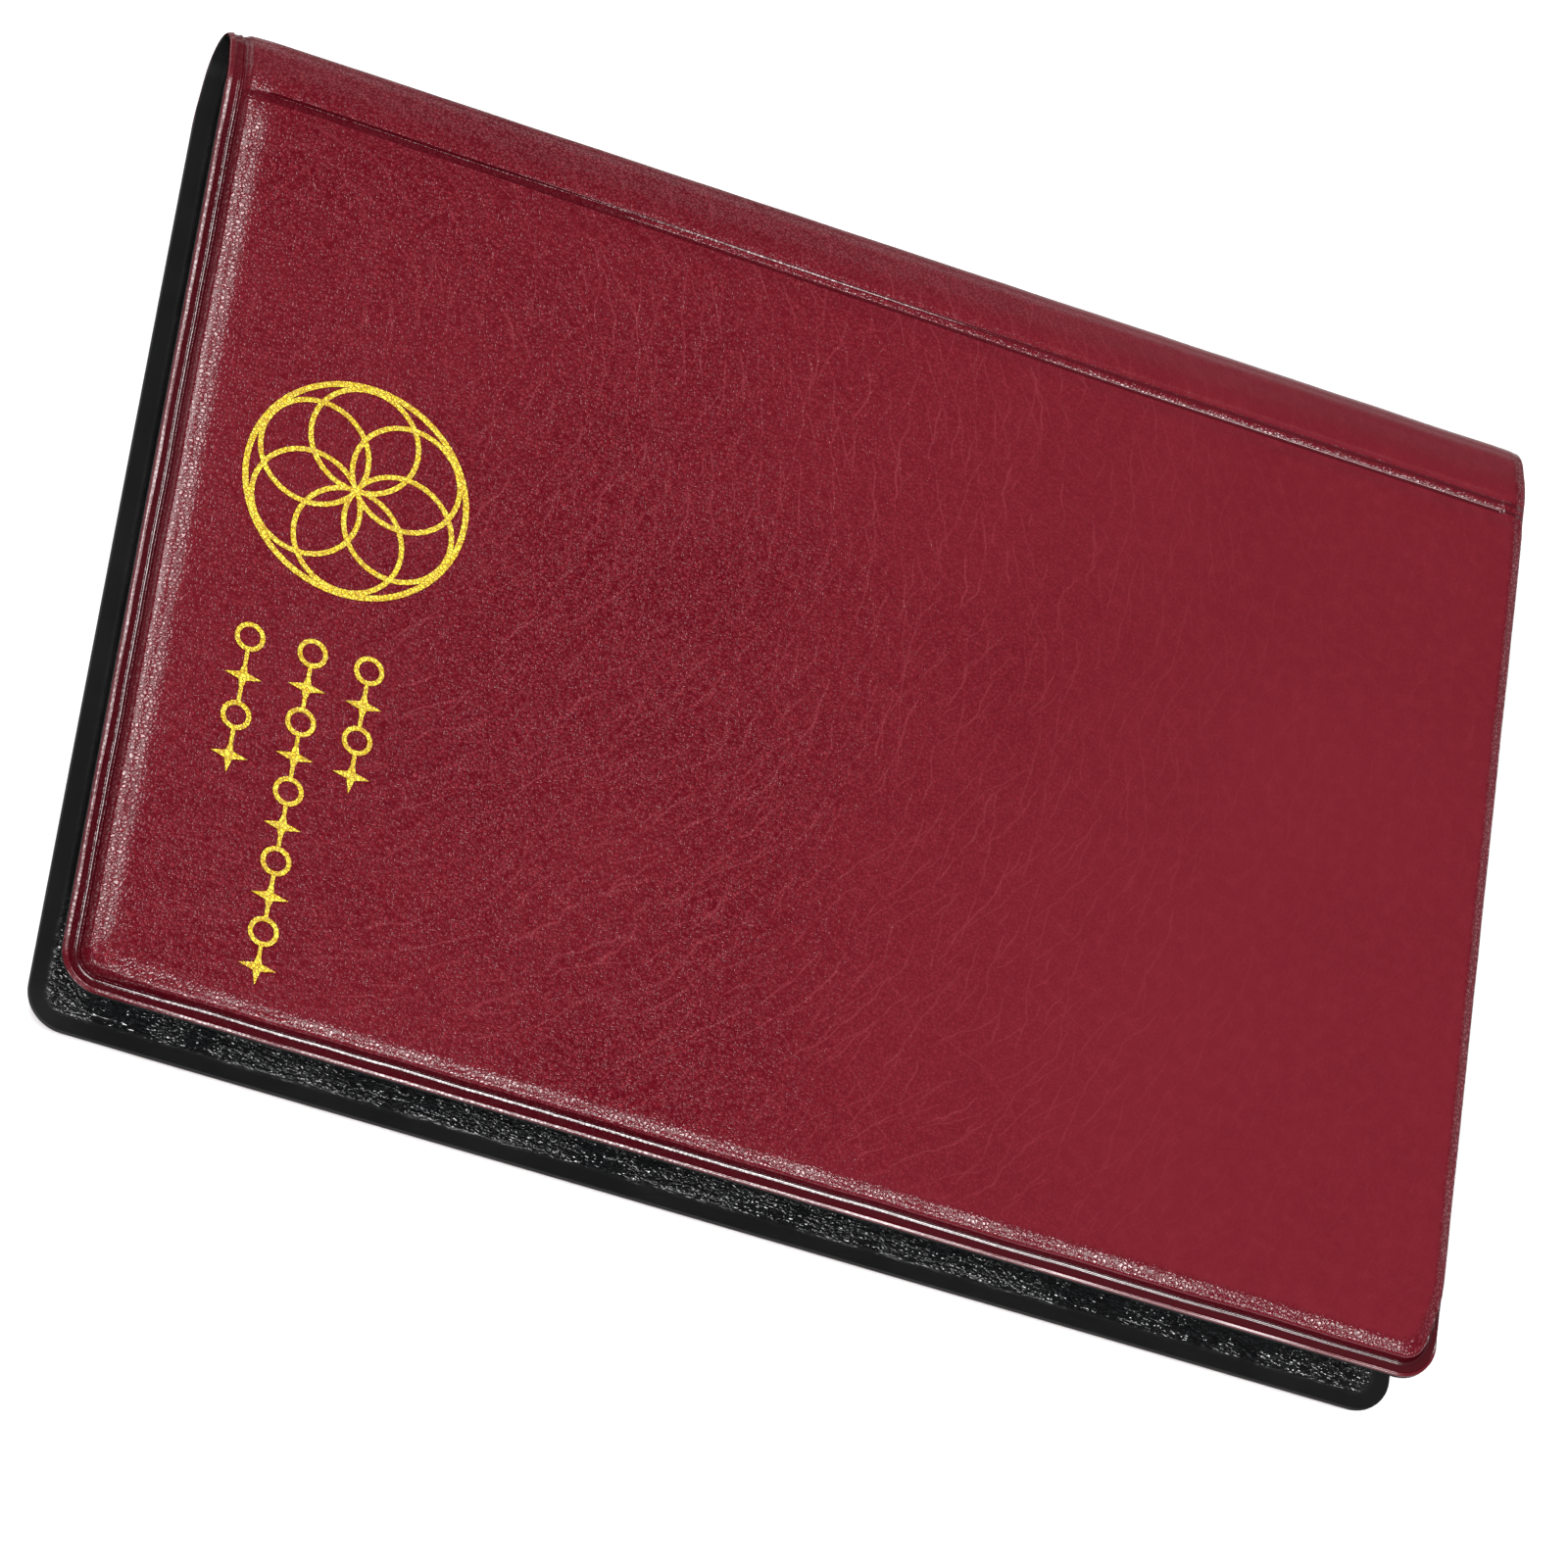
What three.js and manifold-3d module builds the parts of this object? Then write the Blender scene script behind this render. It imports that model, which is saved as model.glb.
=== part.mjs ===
// Pocket album for coins: padded covers joined by a soft spine, ten clear leaves of twelve pockets.
// Millimetres. +X runs along the spine, +Y from the fore edge to the spine, +Z up through the front cover.
// The album lies closed on its back cover, whose panel touches Z = 0.
import * as THREE from 'three';
import { mergeVertices } from 'three/addons/utils/BufferGeometryUtils.js';
import Module from 'manifold-3d';

const wasm = await Module();
wasm.setup();

// Overall size
const LENGTH = 180;
const DEPTH = 135;
const FOIL_STANDOFF = 0.08;
const PANEL_TO_PANEL = 17.92;

// Cover build-up, measured inwards from the padded panel's face
const PANEL_RISE = 2.0;
const SKIN = 0.6;
const LINING = 0.38;
const SHEET_GAP = 0.02;
const BOARD = 0.9;
const PAD = 0.98;
const PAD_GAP = 0.04;
const CORNER_R = 5;

// Spine: short flats behind the folds and a half tube, in three strips that unroll
const SPINE_R = (PANEL_TO_PANEL - 2 * PANEL_RISE) / 2;
const SPINE_Y = DEPTH / 2 - SPINE_R;
const SPINE_Z = PANEL_TO_PANEL / 2;
const FOLD_Y = 56.9;
const STRIP_ARC = 60;
const STRIP_STEPS = 8;
const FOLD_GAP = 0.15;

// Leaves
const LEAF_COUNT = 10;
const LEAF_PITCH = 1.15;
const LEAF_LENGTH = 168;
const LEAF_ROOT_Y = 58.5;
const LEAF_WIDTH = 118.3;
const FILM = 0.18;
const POCKET_GAP = 0.1;
const POCKET_ROWS = 4;
const POCKET_COLUMNS = 3;
const WELD = 2;
const POCKET_X = 39.5;
const POCKET_Y = 35;
const MOUTH_X = 1.4;
const MOUTH_Y = 29;
const MOUTH_EDGE = 1;

// Binding strip between the leaf roots and the spine lining
const COMB_Y = 58.9;
const COMB_THICK = 0.6;
const COMB_HALF = 5.5;
const STEM_HALF = 1.5;
const STEM_END_Y = 66.15;

// Foil stamping on the front panel
const FOIL = 0.07;
const EMBLEM_X = -65.2;
const EMBLEM_Y = 5.9;
const EMBLEM_R = 14.6;
const EMBLEM_STROKE = 0.75;
const ROSETTE_RINGS = 6;
const ROSETTE_ARM = 6.9;
const ROSETTE_R = 7.3;
const ROSETTE_STROKE = 0.65;
const ROW_START_Y = -14.9;
const ROW_LINK = 0.5;

const RIGHT = Math.PI / 2;

const looks = {
  leather: { color: 0x7b2433, roughness: 0.45, metalness: 0 },
  lining: { color: 0x1d1c1e, roughness: 0.5, metalness: 0 },
  foam: { color: 0xe9e2d2, roughness: 0.95, metalness: 0 },
  board: { color: 0x9a8d7a, roughness: 0.9, metalness: 0 },
  film: { color: 0xdfe6ea, roughness: 0.12, metalness: 0, transparent: true, opacity: 0.35 },
  binding: { color: 0x242326, roughness: 0.5, metalness: 0 },
  foil: { color: 0xe0b23c, roughness: 0.28, metalness: 1 },
};

const group = new THREE.Group();
group.name = 'coin_album';

function addPiece(name, look, geometry) {
  const mesh = new THREE.Mesh(geometry, new THREE.MeshStandardMaterial(looks[look]));
  mesh.name = name;
  group.add(mesh);
}

// One closed skin through a stack of loops that all have the same number of points.
function loftSolid(loops) {
  const count = loops[0].length;
  const points = loops.flat();
  const faces = [];
  for (let i = 1; i < count - 1; i += 1) {
    faces.push(0, i + 1, i);
  }
  for (let level = 1; level < loops.length; level += 1) {
    const low = (level - 1) * count;
    const high = level * count;
    for (let i = 0; i < count; i += 1) {
      const next = (i + 1) % count;
      faces.push(low + i, low + next, high + next);
      faces.push(low + i, high + next, high + i);
    }
  }
  const top = (loops.length - 1) * count;
  for (let i = 1; i < count - 1; i += 1) {
    faces.push(top, top + i, top + i + 1);
  }
  const geometry = new THREE.BufferGeometry();
  const coords = points.flatMap((point) => [point.x, point.y, point.z]);
  geometry.setAttribute('position', new THREE.Float32BufferAttribute(coords, 3));
  geometry.setIndex(faces);
  geometry.computeVertexNormals();
  return geometry;
}

// Rounded rectangle, counter-clockwise from above, with its own radius at the spine side.
function coverLoop({ inset, spineY, foreR, spineR, z }) {
  const xEnd = LENGTH / 2 - inset;
  const yFore = -DEPTH / 2 + inset;
  const corners = [
    { x: xEnd - foreR, y: yFore + foreR, r: foreR, turn: -RIGHT },
    { x: xEnd - spineR, y: spineY - spineR, r: spineR, turn: 0 },
    { x: -xEnd + spineR, y: spineY - spineR, r: spineR, turn: RIGHT },
    { x: -xEnd + foreR, y: yFore + foreR, r: foreR, turn: 2 * RIGHT },
  ];
  const steps = 5;
  const loop = [];
  for (const corner of corners) {
    for (let i = 0; i <= steps; i += 1) {
      const angle = corner.turn + (RIGHT * i) / steps;
      const x = corner.x + corner.r * Math.cos(angle);
      const y = corner.y + corner.r * Math.sin(angle);
      loop.push(new THREE.Vector3(x, y, z));
    }
  }
  return loop;
}

const COVER_EDGE_Y = FOLD_Y - FOLD_GAP;
const FLANGE = PANEL_RISE;
const LINING_OUTER = PANEL_RISE + SKIN + SHEET_GAP;
const LINING_INNER = LINING_OUTER + LINING;

// Each row: inset from the free edges, spine side, corner radii, depth below the panel face.
// From the cavity over the pad, round the welded flange, its lip and ridge, up the shoulder to the panel.
function skinProfile() {
  const under = PANEL_RISE + SKIN;
  return [
    { inset: 6.6, spineY: 50.9, foreR: 1.6, spineR: 1.6, depth: SKIN },
    { inset: 4.2, spineY: 53.3, foreR: 2.4, spineR: 2.4, depth: SKIN + 0.3 },
    { inset: 3.0, spineY: 54.4, foreR: 3.0, spineR: 3.0, depth: SKIN + 0.95 },
    { inset: 2.8, spineY: 54.6, foreR: 3.2, spineR: 3.2, depth: under },
    { inset: 0, spineY: COVER_EDGE_Y, foreR: CORNER_R, spineR: 0.2, depth: under },
    { inset: 0, spineY: COVER_EDGE_Y, foreR: CORNER_R, spineR: 0.2, depth: FLANGE },
    { inset: 0.15, spineY: COVER_EDGE_Y - 0.05, foreR: 4.85, spineR: 0.2, depth: FLANGE - 0.15 },
    { inset: 0.55, spineY: COVER_EDGE_Y - 0.15, foreR: 4.45, spineR: 0.3, depth: FLANGE - 0.15 },
    { inset: 0.75, spineY: COVER_EDGE_Y - 0.25, foreR: 4.25, spineR: 0.4, depth: FLANGE + 0.1 },
    { inset: 1.15, spineY: 56.35, foreR: 3.85, spineR: 0.6, depth: FLANGE + 0.1 },
    { inset: 1.3, spineY: 56.2, foreR: 3.7, spineR: 0.8, depth: FLANGE - 0.25 },
    { inset: 1.65, spineY: 55.9, foreR: 3.35, spineR: 1.1, depth: FLANGE - 0.25 },
    { inset: 1.85, spineY: 55.7, foreR: 3.3, spineR: 1.5, depth: FLANGE + 0.1 },
    { inset: 2.15, spineY: 55.4, foreR: 3.6, spineR: 3.6, depth: FLANGE + 0.1 },
    { inset: 2.4, spineY: 55.1, foreR: 3.5, spineR: 3.5, depth: 0.85 },
    { inset: 3.1, spineY: 54.4, foreR: 3.2, spineR: 3.2, depth: 0.35 },
    { inset: 4.3, spineY: 53.2, foreR: 2.8, spineR: 2.8, depth: 0.1 },
    { inset: 6.4, spineY: 51.1, foreR: 2.0, spineR: 2.0, depth: 0 },
  ];
}

function padProfile() {
  const base = LINING_OUTER - SHEET_GAP - BOARD - 2 * PAD_GAP;
  return [
    { inset: 3.5, spineY: 53.8, foreR: 2.8, spineR: 2.8, depth: base },
    { inset: 3.7, spineY: 53.6, foreR: 2.6, spineR: 2.6, depth: base - 0.35 },
    { inset: 4.8, spineY: 52.5, foreR: 2.2, spineR: 2.2, depth: base - 0.75 },
    { inset: 7.0, spineY: 50.3, foreR: 1.6, spineR: 1.6, depth: base - PAD + 0.02 },
  ];
}

function slabProfile(inset, spineY, foreR, spineR, outer, inner) {
  return [
    { inset, spineY, foreR, spineR, depth: inner },
    { inset, spineY, foreR, spineR, depth: outer },
  ];
}

function boardProfile() {
  const inner = PANEL_RISE + SKIN - PAD_GAP;
  return slabProfile(3.1, 54.2, 3, 3, inner - BOARD, inner);
}

function liningProfile() {
  return slabProfile(0, COVER_EDGE_Y, CORNER_R, 0.2, LINING_OUTER, LINING_INNER);
}

// The front cover is built as drawn; the back cover is its mirror image below the leaves.
function coverSolid(profile, isFront) {
  const loops = profile.map((row) => {
    const z = isFront ? PANEL_TO_PANEL - row.depth : row.depth;
    return coverLoop({ ...row, z });
  });
  if (!isFront) {
    loops.reverse();
  }
  return loftSolid(loops);
}

function addCover(side, isFront) {
  addPiece(`${side}_skin`, 'leather', coverSolid(skinProfile(), isFront));
  addPiece(`${side}_pad`, 'foam', coverSolid(padProfile(), isFront));
  addPiece(`${side}_board`, 'board', coverSolid(boardProfile(), isFront));
  addPiece(`${side}_lining`, 'lining', coverSolid(liningProfile(), isFront));
}

// Stations round the spine from arc angle to arc angle, counted from the back cover's flat.
function arcStations(fromDeg, toDeg) {
  const stations = [];
  for (let i = 0; i <= STRIP_STEPS; i += 1) {
    const angle = THREE.MathUtils.degToRad(fromDeg + ((toDeg - fromDeg) * i) / STRIP_STEPS);
    stations.push({ y: SPINE_Y, out: [Math.sin(angle), -Math.cos(angle)] });
  }
  return stations;
}

// One strip of the spine. The first and last strips start with the flat behind a fold.
function spineStrip(outerR, thick, index) {
  const gapDeg = THREE.MathUtils.radToDeg(FOLD_GAP / SPINE_R);
  const from = index * STRIP_ARC + (index > 0 ? gapDeg : 0);
  const to = (index + 1) * STRIP_ARC - (index < 2 ? gapDeg : 0);
  const stations = arcStations(from, to);
  const foldEnd = FOLD_Y + FOLD_GAP;
  if (index === 0) {
    stations.unshift({ y: foldEnd, out: [0, -1] });
  }
  if (index === 2) {
    stations.push({ y: foldEnd, out: [0, 1] });
  }
  const at = (station, r) => new THREE.Vector2(station.y + r * station.out[0], SPINE_Z + r * station.out[1]);
  const outer = stations.map((station) => at(station, outerR));
  const inner = stations.map((station) => at(station, outerR - thick)).reverse();
  return alongSpine(new THREE.Shape([...outer, ...inner]), LENGTH);
}

// A section drawn in Y and Z, run along the spine and centred on X = 0.
function alongSpine(shape, length) {
  const geometry = new THREE.ExtrudeGeometry(shape, { depth: length, bevelEnabled: false });
  const placed = new THREE.Matrix4().set(
    0, 0, 1, -length / 2,
    1, 0, 0, 0,
    0, 1, 0, 0,
    0, 0, 0, 1,
  );
  geometry.applyMatrix4(placed);
  return geometry;
}

function addSpine() {
  const strips = ['lower', 'middle', 'upper'];
  const liningR = SPINE_R - SKIN - 0.05;
  strips.forEach((strip, i) => {
    addPiece(`spine_skin_${strip}`, 'leather', spineStrip(SPINE_R, SKIN, i));
    addPiece(`spine_lining_${strip}`, 'lining', spineStrip(liningR, LINING, i));
  });
}

// Welded strip: a thin wall behind the leaf roots, and a stem that joins it to the spine lining.
function addBinding() {
  const back = COMB_Y + COMB_THICK;
  const outline = [
    [COMB_Y, -COMB_HALF], [back, -COMB_HALF], [back, -STEM_HALF], [STEM_END_Y, -STEM_HALF],
    [STEM_END_Y, STEM_HALF], [back, STEM_HALF], [back, COMB_HALF], [COMB_Y, COMB_HALF],
  ];
  const shape = new THREE.Shape(outline.map(([y, z]) => new THREE.Vector2(y, SPINE_Z + z)));
  addPiece('binding_strip', 'binding', alongSpine(shape, LEAF_LENGTH));
}

// Boolean helpers
function toManifold(geometry) {
  const bare = geometry.clone();
  bare.deleteAttribute('normal');
  bare.deleteAttribute('uv');
  const merged = mergeVertices(bare, 1e-5);
  return new wasm.Manifold(new wasm.Mesh({
    numProp: 3,
    vertProperties: new Float32Array(merged.attributes.position.array),
    triVerts: new Uint32Array(merged.index.array),
  }));
}

function fromManifold(solid) {
  const mesh = solid.getMesh();
  const geometry = new THREE.BufferGeometry();
  const coords = new Float32Array(mesh.numVert * 3);
  for (let i = 0; i < mesh.numVert; i += 1) {
    for (let axis = 0; axis < 3; axis += 1) {
      coords[i * 3 + axis] = mesh.vertProperties[i * mesh.numProp + axis];
    }
  }
  geometry.setAttribute('position', new THREE.BufferAttribute(coords, 3));
  geometry.setIndex(Array.from(mesh.triVerts));
  geometry.computeVertexNormals();
  return geometry;
}

function unite(solids) {
  return solids.reduce((sum, solid) => sum.add(solid));
}

function boxBetween(low, high) {
  const size = new THREE.Vector3().subVectors(high, low);
  const middle = new THREE.Vector3().addVectors(low, high).multiplyScalar(0.5);
  return new THREE.BoxGeometry(size.x, size.y, size.z).translate(middle.x, middle.y, middle.z);
}

// One pocket's room between the films, and the slit at its +X end that a coin goes through.
function pocketCutters(row, column, filmBase) {
  const x0 = -LEAF_LENGTH / 2 + WELD + row * (POCKET_X + WELD);
  const y0 = LEAF_ROOT_Y - LEAF_WIDTH + WELD + column * (POCKET_Y + WELD);
  const x1 = x0 + POCKET_X;
  const y1 = y0 + POCKET_Y;
  const below = filmBase - 0.5;
  const above = filmBase + 0.5;
  const room = boxBetween(
    new THREE.Vector3(x0, y0, below),
    new THREE.Vector3(x1, y1, filmBase + POCKET_GAP),
  );
  const mouthY = (y0 + y1 - MOUTH_Y) / 2;
  const mouth = boxBetween(
    new THREE.Vector3(x1 - MOUTH_EDGE - MOUTH_X, mouthY, below),
    new THREE.Vector3(x1 - MOUTH_EDGE, mouthY + MOUTH_Y, above),
  );
  return [toManifold(room), toManifold(mouth)];
}

function pocketFilm(filmBase) {
  const low = new THREE.Vector3(-LEAF_LENGTH / 2, LEAF_ROOT_Y - LEAF_WIDTH, filmBase);
  const high = new THREE.Vector3(LEAF_LENGTH / 2, LEAF_ROOT_Y, filmBase + POCKET_GAP + FILM);
  const cutters = [];
  for (let row = 0; row < POCKET_ROWS; row += 1) {
    for (let column = 0; column < POCKET_COLUMNS; column += 1) {
      cutters.push(...pocketCutters(row, column, filmBase));
    }
  }
  return fromManifold(toManifold(boxBetween(low, high)).subtract(unite(cutters)));
}

function addLeaves() {
  const thickness = 2 * FILM + POCKET_GAP;
  for (let i = 0; i < LEAF_COUNT; i += 1) {
    const z = SPINE_Z + (i - (LEAF_COUNT - 1) / 2) * LEAF_PITCH;
    const base = z - thickness / 2;
    const label = String(i + 1).padStart(2, '0');
    const low = new THREE.Vector3(-LEAF_LENGTH / 2, LEAF_ROOT_Y - LEAF_WIDTH, base);
    const high = new THREE.Vector3(LEAF_LENGTH / 2, LEAF_ROOT_Y, base + FILM);
    addPiece(`leaf_${label}_back`, 'film', boxBetween(low, high));
    addPiece(`leaf_${label}_pockets`, 'film', pocketFilm(base + FILM));
  }
}

// Foil pieces are flat plates drawn in X and Y on the front panel.
function foilPlate(shape) {
  const geometry = new THREE.ExtrudeGeometry(shape, { depth: FOIL, bevelEnabled: false });
  geometry.translate(0, 0, PANEL_TO_PANEL + FOIL_STANDOFF - FOIL);
  return toManifold(geometry);
}

function circlePoints(x, y, radius, steps) {
  const points = [];
  for (let i = 0; i < steps; i += 1) {
    const angle = (2 * Math.PI * i) / steps;
    points.push(new THREE.Vector2(x + radius * Math.cos(angle), y + radius * Math.sin(angle)));
  }
  return points;
}

function ringShape(x, y, radius, holeRadius, steps) {
  const shape = new THREE.Shape(circlePoints(x, y, radius, steps));
  shape.holes.push(new THREE.Path(circlePoints(x, y, holeRadius, steps).reverse()));
  return shape;
}

function starShape(x, y, tipR, notchR, tips) {
  const points = [];
  for (let i = 0; i < 2 * tips; i += 1) {
    const r = i % 2 === 0 ? tipR : notchR;
    const angle = (Math.PI * i) / tips;
    points.push(new THREE.Vector2(x + r * Math.cos(angle), y + r * Math.sin(angle)));
  }
  return new THREE.Shape(points);
}

function barShape(x0, x1, y0, y1) {
  return new THREE.Shape([
    new THREE.Vector2(x0, y0), new THREE.Vector2(x1, y0),
    new THREE.Vector2(x1, y1), new THREE.Vector2(x0, y1),
  ]);
}

// Emblem: a rosette of equal rings that all cross at its heart, inside one outer ring that they touch.
function addEmblem() {
  const shapes = [ringShape(EMBLEM_X, EMBLEM_Y, EMBLEM_R, EMBLEM_R - EMBLEM_STROKE, 60)];
  for (let i = 0; i < ROSETTE_RINGS; i += 1) {
    const angle = (2 * Math.PI * (i + 0.5)) / ROSETTE_RINGS;
    const x = EMBLEM_X + ROSETTE_ARM * Math.cos(angle);
    const y = EMBLEM_Y + ROSETTE_ARM * Math.sin(angle);
    shapes.push(ringShape(x, y, ROSETTE_R, ROSETTE_R - ROSETTE_STROKE, 36));
  }
  addPiece('foil_emblem', 'foil', fromManifold(unite(shapes.map(foilPlate))));
}

// An ornamental row across the panel: coin rings and four-point marks, joined by short links.
function addOrnamentRow(name, x, length, marks) {
  const step = length / marks;
  const shapes = [];
  for (let i = 0; i < marks; i += 1) {
    const y = ROW_START_Y - step * (i + 0.5);
    if (i % 2 === 0) {
      shapes.push(ringShape(x, y, 1.95, 1.35, 16));
    } else {
      shapes.push(starShape(x, y, 2.35, 0.7, 4));
    }
    if (i > 0) {
      shapes.push(barShape(x - ROW_LINK / 2, x + ROW_LINK / 2, y + 1.6, y + step - 1.6));
    }
  }
  addPiece(name, 'foil', fromManifold(unite(shapes.map(foilPlate))));
}

addCover('back', false);
addSpine();
addBinding();
addLeaves();
addCover('front', true);
addEmblem();
addOrnamentRow('foil_row_inner', -59.7, 19, 4);
addOrnamentRow('foil_row_middle', -67, 46.8, 10);
addOrnamentRow('foil_row_outer', -75, 21.3, 4);

export default group;
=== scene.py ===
import math

import bpy
import numpy as np
from mathutils import Matrix, Vector, noise


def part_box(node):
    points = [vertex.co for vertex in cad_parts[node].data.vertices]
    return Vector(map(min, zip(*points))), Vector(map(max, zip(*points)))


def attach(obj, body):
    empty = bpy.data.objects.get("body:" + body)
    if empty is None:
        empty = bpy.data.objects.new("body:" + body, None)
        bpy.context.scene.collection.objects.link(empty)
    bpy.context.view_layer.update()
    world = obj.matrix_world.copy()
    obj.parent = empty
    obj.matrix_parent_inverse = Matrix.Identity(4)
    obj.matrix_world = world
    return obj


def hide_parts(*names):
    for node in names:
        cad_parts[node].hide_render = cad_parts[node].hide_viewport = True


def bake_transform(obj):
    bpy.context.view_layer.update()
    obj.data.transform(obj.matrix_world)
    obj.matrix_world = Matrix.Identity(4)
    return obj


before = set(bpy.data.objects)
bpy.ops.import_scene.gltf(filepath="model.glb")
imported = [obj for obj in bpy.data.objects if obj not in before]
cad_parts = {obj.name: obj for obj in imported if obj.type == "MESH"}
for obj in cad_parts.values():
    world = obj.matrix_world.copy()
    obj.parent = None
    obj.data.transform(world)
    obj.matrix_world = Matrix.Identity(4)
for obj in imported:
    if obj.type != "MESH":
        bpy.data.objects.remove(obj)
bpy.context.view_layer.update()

# The coin album: padded covers with welded edges, a soft spine, clear pocket leaves, gold foil ornament.
# Lengths in this file are millimetres unless a name ends in _m or _M; meshes are written in metres.
MM = 0.001


def corners(node):
    low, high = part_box(node)
    return np.array(low) / MM, np.array(high) / MM


skin_low, skin_high = corners("front_skin")
lining_low, _ = corners("front_lining")
_, spine_high = corners("spine_skin_middle")
FORE_Y = skin_low[1]
SIDE_X = skin_high[0]
PANEL_Z = skin_high[2]
MID_Z = PANEL_Z / 2
FLANGE = 2.0
LINING_Z = lining_low[2]
JOIN_Y = skin_high[1] + 0.2
SPINE_END_Y = spine_high[1]
CORNER_R, INNER_CORNER_R = 5.0, 2.6
CREASE_Y = JOIN_Y - 1.45
# Where it meets the spine, the panel lies lower by the crease's slack, a clearance and its own drop.
CREASE_SLACK, PANEL_MARGIN, PANEL_DROP = 0.46, 0.012, 0.07
JOIN_DROP = CREASE_SLACK + PANEL_MARGIN + PANEL_DROP
# The crown of the pad rises by the first of these where it is highest, and starts lower by the second.
CROWN_HEIGHT, CROWN_DROP = 0.13, 0.07
FOLD_TURN = 19.8
LEAF_COUNT, LEAF_PITCH = 10, 1.15

# ---------------------------------------------------------------- mesh helpers


# The distance from an edge that a piece is painted by where it has none of its own.
FAR_FROM_EDGE = 20.0


def add_object(name, verts, faces, material, smooth=True, edge_mm=None):
    """A mesh given in millimetres, which carries its place at rest and its distance from an edge for the paint."""
    mesh = bpy.data.meshes.new(name)
    coords = np.asarray(verts, float) * MM
    mesh.from_pydata(coords.tolist(), [], [tuple(int(i) for i in f) for f in faces])
    mesh.update()
    rest = mesh.attributes.new("rest", "FLOAT_VECTOR", "POINT")
    rest.data.foreach_set("vector", coords.astype(np.float32).ravel())
    edge = mesh.attributes.new("edge_mm", "FLOAT", "POINT")
    values = np.full(len(coords), FAR_FROM_EDGE) if edge_mm is None else np.asarray(edge_mm, float)
    edge.data.foreach_set("value", values.astype(np.float32))
    if smooth:
        mesh.polygons.foreach_set("use_smooth", [True] * len(mesh.polygons))
    mesh.materials.append(material)
    obj = bpy.data.objects.new(name, mesh)
    bpy.context.collection.objects.link(obj)
    return obj


def grid_faces(rows, columns, flip=False):
    index = np.arange(rows * columns).reshape(rows, columns)
    a, b = index[:-1, :-1].ravel(), index[:-1, 1:].ravel()
    c, d = index[1:, 1:].ravel(), index[1:, :-1].ravel()
    return np.stack([a, d, c, b], 1) if flip else np.stack([a, b, c, d], 1)


def smoothstep(x, low, high):
    t = np.clip((x - low) / (high - low), 0, 1)
    return t * t * (3 - 2 * t)


def curve_through(x, stations):
    """A smooth curve through (x, value) stations, flat at each turning point."""
    px = np.array([s[0] for s in stations], float)
    py = np.array([s[1] for s in stations], float)
    h = np.diff(px)
    delta = np.diff(py) / h
    slope = np.zeros_like(py)
    for i in range(1, len(px) - 1):
        if delta[i - 1] * delta[i] > 0:
            w1, w2 = 2 * h[i] + h[i - 1], h[i] + 2 * h[i - 1]
            slope[i] = (w1 + w2) / (w1 / delta[i - 1] + w2 / delta[i])
    x = np.clip(x, px[0], px[-1])
    k = np.clip(np.searchsorted(px, x) - 1, 0, len(px) - 2)
    t = (x - px[k]) / h[k]
    h00, h10 = 2 * t**3 - 3 * t**2 + 1, t**3 - 2 * t**2 + t
    h01, h11 = -2 * t**3 + 3 * t**2, t**3 - t**2
    return h00 * py[k] + h10 * h[k] * slope[k] + h01 * py[k + 1] + h11 * h[k] * slope[k + 1]


def soft_noise(x, y, z, size):
    """Smooth noise of about unit height whose bumps are about size millimetres across."""
    points = np.stack(np.broadcast_arrays(x, y, z), -1).reshape(-1, 3) / size
    values = [noise.noise(Vector(p)) for p in points]
    return np.array(values).reshape(np.broadcast(x, y, z).shape)


# ---------------------------------------------------------------- materials

# Colours in linear light.
RED_DEEP = (0.100, 0.0033, 0.0092, 1)
RED_MAIN = (0.112, 0.0046, 0.0112, 1)
RED_LIGHT = (0.134, 0.0076, 0.0152, 1)
# Painted glint: brighter red for the lit specks.
RED_PAINTED_GLINT = (0.192, 0.0125, 0.0215, 1)
# Painted shade for the cracks between grains.
RED_CRACK_SHADE = (0.045, 0.0008, 0.0030, 1)
RED_VEIN = (0.225, 0.0350, 0.0480, 1)
# Dark weld colour, also painted as shade on the crease's floor.
RED_WELD_AND_CREASE_SHADE = (0.032, 0.0010, 0.0030, 1)
BLACK_DEEP, BLACK_LIGHT = (0.0036, 0.0036, 0.0038, 1), (0.0056, 0.0055, 0.0057, 1)
FILM_CLEAR, FILM_MILKY = (0.70, 0.76, 0.80, 1), (0.84, 0.87, 0.88, 1)
GOLD_DEEP, GOLD_LIGHT, GOLD_MISSED = (0.78, 0.53, 0.020, 1), (1.0, 0.86, 0.085, 1), (0.22, 0.075, 0.010, 1)
BINDING_DEEP, BINDING_LIGHT = (0.010, 0.010, 0.011, 1), (0.024, 0.024, 0.025, 1)


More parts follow.
